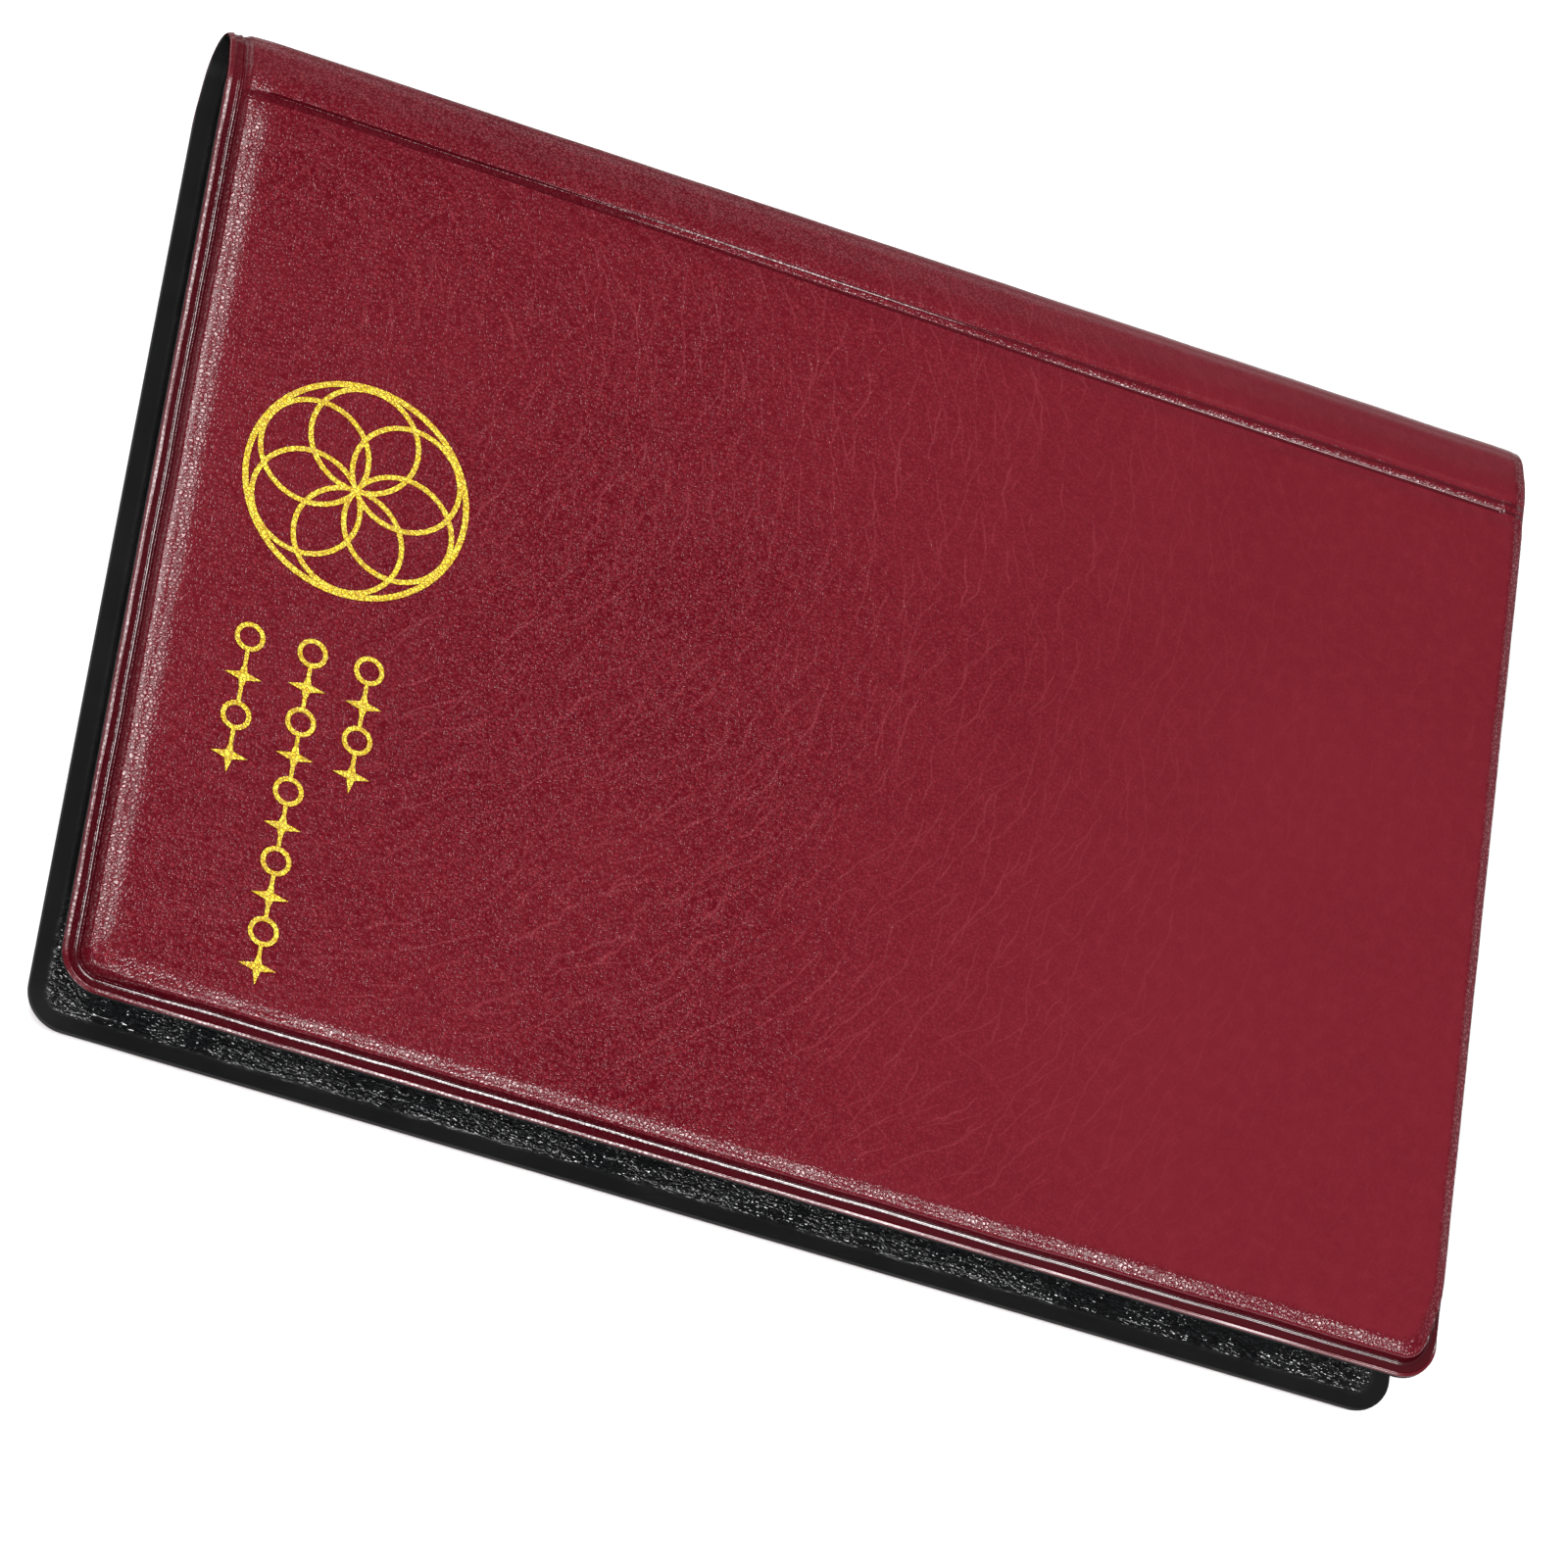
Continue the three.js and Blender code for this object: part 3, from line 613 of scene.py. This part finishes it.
def cover_surface(side):
    """Outer skin of a cover, from the welded edge to the middle of the panel."""
    xs, ys, zs, edges = [], [], [], []
    for inset in INSETS:
        x, y = u_line(inset, max(CORNER_R - inset, INNER_CORNER_R))
        shift = wander(x, y) * stray(inset)
        across_x, across_y = inward(x, y)
        d = narrowed(inset, x, y)
        padded = curve_through(d, SHOULDER)
        panel = PANEL_Z - crease_depth(x, y) - PANEL_MARGIN
        uneven = 0.03 * soft_noise(x, y, 11.0 + side, 26.0) + 0.016 * soft_noise(x, y, 5.0 - side, 7.0)
        swell = CROWN_HEIGHT * crown_at(x * side, y) - CROWN_DROP + uneven
        pucker = 0.10 * soft_noise(x, y, 2.0 * side, 5.0) * smoothstep(d, 2.6, 3.4) * (1 - smoothstep(d, 4.5, 8.0))
        free = 1 - smoothstep(y, JOIN_Y - 4.0, JOIN_Y - 0.5)
        z = PANEL_Z - FLANGE + padded * (panel - PANEL_Z + FLANGE) + curve_through(d, MARKS)
        z = np.minimum(z + (swell * free - PANEL_DROP) * padded + pucker * free, PANEL_Z)
        # In the crease the edge distance is set low, so the material paints its floor with the dark weld colour as
        # shade.
        crease_shade_edge = CREASE_SHADE_EDGE + crease_clear(x, y)
        xs.append(x + across_x * shift), ys.append(y + across_y * shift + crease_bow(x, y))
        zs.append(z), edges.append(np.minimum(d, crease_shade_edge))
    return np.array(xs), np.array(ys), np.array(zs), np.array(edges)


# The rims of the skin and of the lining reach this far below the flange's face, where they overlap a little.
SKIN_HEM, LINING_HEM = 0.37, 0.35


def add_cover_skin(name, side):
    x, y, z, edge = cover_surface(side)
    x = np.vstack([x[0], x])
    y = np.vstack([y[0], y])
    z = np.vstack([np.full(x.shape[1], PANEL_Z - FLANGE - SKIN_HEM), z])
    edge = np.vstack([edge[0], edge])
    if side < 0:
        z = PANEL_Z - z
    verts = np.stack([x.ravel(), y.ravel(), z.ravel()], 1)
    faces = grid_faces(x.shape[0], x.shape[1], flip=side < 0)
    return add_object(name, verts, faces, LEATHER, edge_mm=edge.ravel())


# Inside of a cover: narrow welded flange, soft step over the board's edge, then the level lining.
LINING_DROP = 0.17
LINING_STEP = [(0, 0.17), (0.1, 0.13), (0.5, 0.13), (2.0, 0.14), (3.4, 0.09), (5.0, 0.02), (6.6, 0.0), (200, 0)]


def add_cover_lining(name, side):
    xs, ys, zs, edges = [], [], [], []
    for inset in INSETS:
        x, y = u_line(inset, max(CORNER_R - inset, INNER_CORNER_R))
        step = curve_through(np.full(len(x), inset), LINING_STEP)
        swell = 0.05 * soft_noise(x, y, 31.0 + side, 18.0) + 0.04 * soft_noise(x, y, 17.0, 5.0)
        z = LINING_Z + step + np.maximum(swell, -0.04) * smoothstep(inset, 1.0, 4.0)
        xs.append(x), ys.append(y), zs.append(z), edges.append(np.full(len(x), inset))
    x = np.vstack([xs[0], np.array(xs)])
    y = np.vstack([ys[0], np.array(ys)])
    z = np.vstack([np.full(x.shape[1], PANEL_Z - FLANGE - LINING_HEM), np.array(zs)])
    edge = np.vstack([edges[0], np.array(edges)])
    if side < 0:
        z = PANEL_Z - z
    verts = np.stack([x.ravel(), y.ravel(), z.ravel()], 1)
    faces = grid_faces(x.shape[0], x.shape[1], flip=side > 0)
    return add_object(name, verts, faces, LINING, edge_mm=edge.ravel())


# ---------------------------------------------------------------- spine surfaces


# Steps along half of the spine's section: the bend behind the fold, the straight and the round.
BEND_STEPS, STRAIGHT_STEPS, ROUND_STEPS = 24, 13, 43
BEND_LENGTH = 3.5


def spine_path(start_y, start_z, first_turn, reach):
    """Half of the spine's section: a gentle fall behind the fold, a straight, then a round to the outermost point."""
    turn = math.radians(FOLD_TURN)
    lead = math.radians(first_turn)
    bend = np.linspace(lead, turn, BEND_STEPS)
    radius = BEND_LENGTH / (math.sin(turn) - math.sin(lead))
    y = start_y + radius * (np.sin(bend) - math.sin(lead))
    z = start_z - radius * (math.cos(lead) - np.cos(bend))
    share = (1 - math.sin(turn)) / math.cos(turn)
    slope = math.tan(turn)
    knee_y = (reach - y[-1] - share * (z[-1] - MID_Z)) / (1 - share * slope) + y[-1]
    knee_z = z[-1] - slope * (knee_y - y[-1])
    r = (knee_z - MID_Z) / math.cos(turn)
    straight = np.linspace(0, 1, STRAIGHT_STEPS + 1)[1:]
    y = np.concatenate([y, y[-1] + (knee_y - y[-1]) * straight])
    z = np.concatenate([z, z[-1] + (knee_z - z[-1]) * straight])
    sweep = np.linspace(turn, math.pi / 2, ROUND_STEPS + 1)[1:]
    y = np.concatenate([y, knee_y + r * (np.sin(sweep) - math.sin(turn))])
    z = np.concatenate([z, knee_z - r * (math.cos(turn) - np.cos(sweep))])
    return y, z


def path_normals(y, z):
    dy, dz = np.gradient(y), np.gradient(z)
    size = np.hypot(dy, dz)
    return -dz / size, dy / size


def across_spine():
    """Stations along the spine's length as distance from its nearer end, signed by side."""
    near = np.concatenate([INSETS[INSETS < EDGE_ZONE], np.linspace(EDGE_ZONE, SIDE_X, 30)])
    return np.concatenate([-SIDE_X + near, (SIDE_X - near)[::-1][1:]])


# The row where the upper half of the spine's skin is divided, and the length of its round part's arc.
FIRST_SPLIT = 31
HALF_COUNT = BEND_STEPS + STRAIGHT_STEPS + ROUND_STEPS


def spine_sheet(outer):
    """Full section from the front fold to the back fold, for the skin (outer) or the lining (inner)."""
    x = across_spine()
    d = SIDE_X - np.abs(x)
    d = narrowed(d, x, np.zeros(len(x))) if outer else d
    if outer:
        x = x - np.sign(x) * wander(x, JOIN_Y) * stray(SIDE_X - np.abs(x))
        low_y, low_z = spine_path(JOIN_Y, PANEL_Z - FLANGE, 0.0, SPINE_END_Y - 0.35)
        top_y, top_z = spine_path(JOIN_Y, PANEL_Z - JOIN_DROP, 5.0, SPINE_END_Y - 0.12)
        share, marks = curve_through(d, SHOULDER), curve_through(d, MARKS)
    else:
        low_y, low_z = spine_path(JOIN_Y, LINING_Z + LINING_DROP, 0.0, SPINE_END_Y - 0.98)
        top_y, top_z = spine_path(JOIN_Y, LINING_Z, 0.0, SPINE_END_Y - 1.15)
        share = 1 - curve_through(d, LINING_STEP) / LINING_DROP
        marks = np.zeros(len(d))
    ny, nz = path_normals(low_y, low_z)
    y = low_y[:, None] + (top_y - low_y)[:, None] * share + ny[:, None] * marks
    z = low_z[:, None] + (top_z - low_z)[:, None] * share + nz[:, None] * marks
    y = np.vstack([y, y[-2::-1]])
    z = np.vstack([z, PANEL_Z - z[-2::-1]])
    x = np.broadcast_to(x, y.shape)
    edge = np.broadcast_to(d, y.shape)
    return x, y, z, edge


def add_spine_pieces(kind, outer, material):
    """The sheet in four pieces, one for each hinge, with the same line of points on both sides of a cut."""
    x, y, z, edge = spine_sheet(outer)
    last = y.shape[0] - 1
    middle = HALF_COUNT - 1
    cuts = [0, FIRST_SPLIT, middle, last - FIRST_SPLIT, last]
    soft = soft_noise(x, y, z, 14.0) * 0.10 * smoothstep(edge, 2.4, 7.0)
    rows = np.arange(last + 1)[:, None]
    calm = smoothstep(rows, 0, 8) * smoothstep(last - rows, 0, 8)
    y = y - np.abs(soft) * calm
    pieces = []
    for i in range(4):
        part = slice(cuts[i], cuts[i + 1] + 1)
        px, py, pz, pe = x[part], y[part], z[part], edge[part]
        verts = np.stack([px.ravel(), py.ravel(), pz.ravel()], 1)
        faces = grid_faces(px.shape[0], px.shape[1], flip=not outer)
        pieces.append(add_object(f"{kind}_{i + 1}", verts, faces, material, edge_mm=pe.ravel()))
    return pieces


def blend_spine(pieces):
    """Bakes each piece's place into its mesh; the four hinges between front cover, spine strips and back cover are
    listed but not used to bend the pieces.
    """
    bend_end = JOIN_Y + BEND_LENGTH
    round_start = (SPINE_END_Y - 4.6, MID_Z + 5.6)
    round_end = (SPINE_END_Y, MID_Z + 0.4)
    spans = [
        ("front_cover", "spine_upper", (JOIN_Y, PANEL_Z - FLANGE), (bend_end, PANEL_Z - FLANGE)),
        ("spine_upper", "spine_middle", round_start, round_end),
        ("spine_middle", "spine_lower", (round_end[0], PANEL_Z - round_end[1]),
         (round_start[0], PANEL_Z - round_start[1])),
        ("spine_lower", "back_cover", (bend_end, FLANGE), (JOIN_Y, FLANGE)),
    ]
    for piece, (first, second, start, end) in zip(pieces, spans):
        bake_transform(piece)


front_skin = add_cover_skin("front_cover_skin", 1)
back_skin = add_cover_skin("back_cover_skin", -1)
front_lining = add_cover_lining("front_cover_lining", 1)
back_lining = add_cover_lining("back_cover_lining", -1)
spine_skins = add_spine_pieces("spine_cover_skin", True, LEATHER)
spine_linings = add_spine_pieces("spine_cover_lining", False, LINING)

for piece, body, node in (
    (front_skin, "front_cover", "front_skin"),
    (back_skin, "back_cover", "back_skin"),
    (front_lining, "front_cover", "front_lining"),
    (back_lining, "back_cover", "back_lining"),
):
    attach(piece, body)
    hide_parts(node)
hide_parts("front_pad", "front_board")
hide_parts("back_pad", "back_board")
blend_spine(spine_skins)
blend_spine(spine_linings)
for pieces, stem in ((spine_skins, "spine_skin"), (spine_linings, "spine_lining")):
    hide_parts(f"{stem}_upper")
    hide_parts(f"{stem}_middle")
    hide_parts(f"{stem}_lower")

# ---------------------------------------------------------------- pocket leaves

WELD_BAND = 2.0
POCKET_ROWS, POCKET_COLUMNS = 4, 3
MOUTH_LONG, MOUTH_WIDE, MOUTH_MARGIN = 29.0, 1.4, 1.0
LEAF_CORNER = 4.0
# Grid lines inside a pocket, from its low side where positive and from its high side where negative.
MARKS_ALONG = (0.25, 0.9, 3.0, 8.0, 14.0, 20.0, 26.0, -9.0, -5.0, -2.4, -1.0, -0.25)
MARKS_ACROSS = (0.25, 0.9, 3.0, 8.0, 13.0, 17.5, -13.0, -8.0, -3.0, -0.9, -0.25)
CORNER_LINE = 2.8


def pocket_lines(start, end, count, marks):
    """Grid lines across a row of pockets: weld bands between them, and the given marks inside each pocket."""
    size = (end - start - WELD_BAND * (count + 1)) / count
    lines, pockets = [start, start + 0.7, start + 1.4], []
    for i in range(count):
        low = start + WELD_BAND + i * (size + WELD_BAND)
        lines += [low] + [low + m if m > 0 else low + size + m for m in marks]
        lines += [low + size, low + size + WELD_BAND / 2]
        pockets.append((low, low + size))
    lines += [end - 0.4, end]
    return np.array(sorted(set(np.round(lines, 4)))), pockets


def rounded_fore_corners(x, y, half, fore):
    """Squeezes the grid's two fore corners onto quarter circles."""
    r = LEAF_CORNER
    a = np.clip((np.abs(x) - (half - r)) / r, 0, 1)
    b = np.clip((fore + r - y) / r, 0, 1)
    inside = (a > 0) & (b > 0)
    new_x = np.where(inside, np.sign(x) * (half - r + r * a * np.sqrt(1 - b * b / 2)), x)
    new_y = np.where(inside, fore + r - r * b * np.sqrt(1 - a * a / 2), y)
    return new_x, new_y


def pocket_shape(x, y, x_pockets, y_pockets):
    """How deep a point lies in its pocket: 0 on a weld, 1 in the middle."""
    depth = np.zeros_like(x)
    for x0, x1 in x_pockets:
        for y0, y1 in y_pockets:
            near = np.minimum(np.minimum(x - x0, x1 - x), np.minimum(y - y0, y1 - y))
            depth = np.maximum(depth, smoothstep(near, 0, 7.0) * 0.6 + smoothstep(near, 0, 0.8) * 0.4)
    return depth


def leaf_meshes():
    low, high = corners("leaf_01_back")
    base_z = low[2]
    xs, x_pockets = pocket_lines(low[0], high[0], POCKET_ROWS, MARKS_ALONG)
    ys, y_pockets = pocket_lines(low[1], high[1], POCKET_COLUMNS, MARKS_ACROSS)
    xs = np.array(sorted(set(xs.tolist() + [-high[0] + CORNER_LINE, high[0] - CORNER_LINE])))
    ys = np.array(sorted(set(ys.tolist() + [low[1] + CORNER_LINE])))
    gx, gy = np.meshgrid(xs, ys, indexing="ij")
    x, y = rounded_fore_corners(gx, gy, high[0], low[1])
    depth = pocket_shape(gx, gy, x_pockets, y_pockets)
    weld = 1 - smoothstep(depth, 0.0, 0.25)
    wave = 0.05 * soft_noise(x, y, 3.0, 40.0) + 0.015 * soft_noise(x, y, 1.0, 9.0)
    back = np.stack([x, y, base_z + 0.05 + wave - 0.04 * depth], -1).reshape(-1, 3)
    film = np.stack([x, y, base_z + 0.24 + wave + 0.20 * depth], -1).reshape(-1, 3)
    faces = grid_faces(len(xs), len(ys))
    center = film[faces].mean(1)
    keep = np.ones(len(faces), bool)
    for _, x1 in x_pockets:
        for y0, y1 in y_pockets:
            in_x = (center[:, 0] > x1 - MOUTH_MARGIN - MOUTH_WIDE) & (center[:, 0] < x1 - MOUTH_MARGIN)
            in_y = np.abs(center[:, 1] - (y0 + y1) / 2) < MOUTH_LONG / 2
            keep &= ~(in_x & in_y)
    return back, film, faces, faces[keep], weld.ravel(), low, high


def add_leaves():
    back, film, back_faces, film_faces, weld, low, high = leaf_meshes()
    for number in range(1, LEAF_COUNT + 1):
        label = f"{number:02d}"
        node_low, _ = corners(f"leaf_{label}_back")
        lift = np.array([0, 0, node_low[2] - low[2]])
        for kind, verts, faces, node in (("back", back, back_faces, "back"), ("pocket", film, film_faces, "pockets")):
            piece = add_object(f"leaf_{label}_{kind}_film", verts + lift, faces, FILM, edge_mm=weld)
            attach(piece, f"leaf_{label}")
            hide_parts(f"leaf_{label}_{node}")


add_leaves()

# ---------------------------------------------------------------- binding strip


WALL_POINTS = 121


def binding_profile():
    """Section of the strip: a thin wall with a bead for each leaf root, and a stem back to the spine lining."""
    low, high = corners("binding_strip")
    mid = (low[2] + high[2]) / 2
    root_y = low[1]
    wall, stem = 0.55, 1.4
    points = []
    for z in np.linspace(low[2], high[2], WALL_POINTS):
        turn = (z - mid) / LEAF_PITCH + 0.5
        bead = 0.16 * abs(math.cos(math.pi * turn)) ** 3
        end = 1 - smoothstep(abs(z - mid), high[2] - mid - 0.35, high[2] - mid)
        points.append((root_y + 0.2 - 0.2 * end - 0.4 * bead * end, z))
    rim = high[2] - mid
    stem_end = SPINE_END_Y - 1.25
    for offset, y in ((rim - 0.05, wall - 0.15), (rim - 0.3, wall), (stem + 1.0, wall),
                      (stem + 0.35, wall + 0.1), (stem, wall + 0.45)):
        points.append((root_y + y, mid + offset))
    points += [(stem_end - 0.6, mid + stem), (stem_end, mid + stem + 0.5)]
    lower = [(y, 2 * mid - z) for y, z in points[WALL_POINTS:]][::-1]
    return np.array(points + lower), low[0], high[0]


def add_binding():
    profile, x0, x1 = binding_profile()
    xs = np.linspace(x0, x1, 90)
    count = len(profile)
    ripple = 0.03 * soft_noise(xs, 0 * xs, 4.0, 6.0)
    verts = [(x, y, z + r) for x, r in zip(xs, ripple) for y, z in profile]
    index = np.arange(len(xs) * count).reshape(len(xs), count)
    index = np.hstack([index, index[:, :1]])
    a, b, c, d = index[:-1, :-1].ravel(), index[:-1, 1:].ravel(), index[1:, 1:].ravel(), index[1:, :-1].ravel()
    faces = np.stack([a, b, c, d], 1).tolist()
    faces += [index[0, :-1][::-1].tolist(), index[-1, :-1].tolist()]
    piece = add_object("spine_binding_strip", verts, faces, BINDING)
    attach(piece, "spine_middle")
    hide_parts("binding_strip")


add_binding()

# The stamped foil keeps its CAD plates and takes the worn gold material.
for node in ("foil_emblem", "foil_row_inner", "foil_row_middle", "foil_row_outer"):
    plate = bpy.data.objects[node]
    for slot in plate.material_slots:
        slot.material = FOIL

# ---------------------------------------------------------------- studio

paper = bpy.data.materials.new("pale_floor")
paper.use_nodes = True
paper.node_tree.nodes["Principled BSDF"].inputs["Base Color"].default_value = (0.92, 0.92, 0.92, 1)
paper.node_tree.nodes["Principled BSDF"].inputs["Roughness"].default_value = 0.9

FLOOR_HALF = 3000
floor_corners = [(x * FLOOR_HALF, y * FLOOR_HALF, 0) for x, y in ((-1, -1), (1, -1), (1, 1), (-1, 1))]
floor = add_object("floor", floor_corners, [(0, 1, 2, 3)], paper, smooth=False)

world = bpy.data.worlds.new("studio")
world.use_nodes = True
world.node_tree.nodes["Background"].inputs["Color"].default_value = (1, 1, 1, 1)
world.node_tree.nodes["Background"].inputs["Strength"].default_value = 0.22
bpy.context.scene.world = world
bpy.context.scene.view_settings.view_transform = "Standard"


def add_light(name, direction, distance, size, power):
    data = bpy.data.lights.new(name, "AREA")
    data.shape = "RECTANGLE"
    data.size, data.size_y = size
    data.energy = power
    obj = bpy.data.objects.new(name, data)
    place = Vector(direction).normalized() * distance
    obj.location = place
    obj.rotation_euler = (-place).to_track_quat("-Z", "Y").to_euler()
    bpy.context.collection.objects.link(obj)


add_light("soft_overhead", (-0.40, -0.50, 0.80), 2.4, (1.6, 1.6), 66)
add_light("soft_front", (0.27, -0.36, 0.88), 1.5, (0.46, 0.34), 13.5)
add_light("soft_left", (-0.40, 0.45, 0.79), 1.5, (0.54, 0.42), 12)
add_light("soft_right", (0.83, 0.45, 0.34), 1.5, (0.5, 0.5), 0.9)

# Camera: azimuth, elevation and roll in degrees, aimed at a point near the album's middle.
AZIMUTH, ELEVATION, ROLL = -32.67, 57.579, 45.615
TARGET = (-2.371, -10.441, 9.0)
DISTANCE_M = 1.0413
LENS = 193.63


def add_camera():
    a, e, roll = (math.radians(v) for v in (AZIMUTH, ELEVATION, ROLL))
    back = Vector((math.sin(a) * math.cos(e), -math.cos(a) * math.cos(e), math.sin(e)))
    right = (-back).cross(Vector((0, 0, 1))).normalized()
    up = right.cross(-back)
    tilted_right = math.cos(roll) * right + math.sin(roll) * up
    tilted_up = math.cos(roll) * up - math.sin(roll) * right
    data = bpy.data.cameras.new("camera")
    data.lens = LENS
    data.sensor_width = 36
    data.clip_end = 50
    obj = bpy.data.objects.new("camera", data)
    turn = Matrix((tilted_right, tilted_up, back)).transposed().to_4x4()
    place = Vector(TARGET) * MM + back * DISTANCE_M
    obj.matrix_world = Matrix.Translation(place) @ turn
    bpy.context.collection.objects.link(obj)
    bpy.context.scene.camera = obj


add_camera()
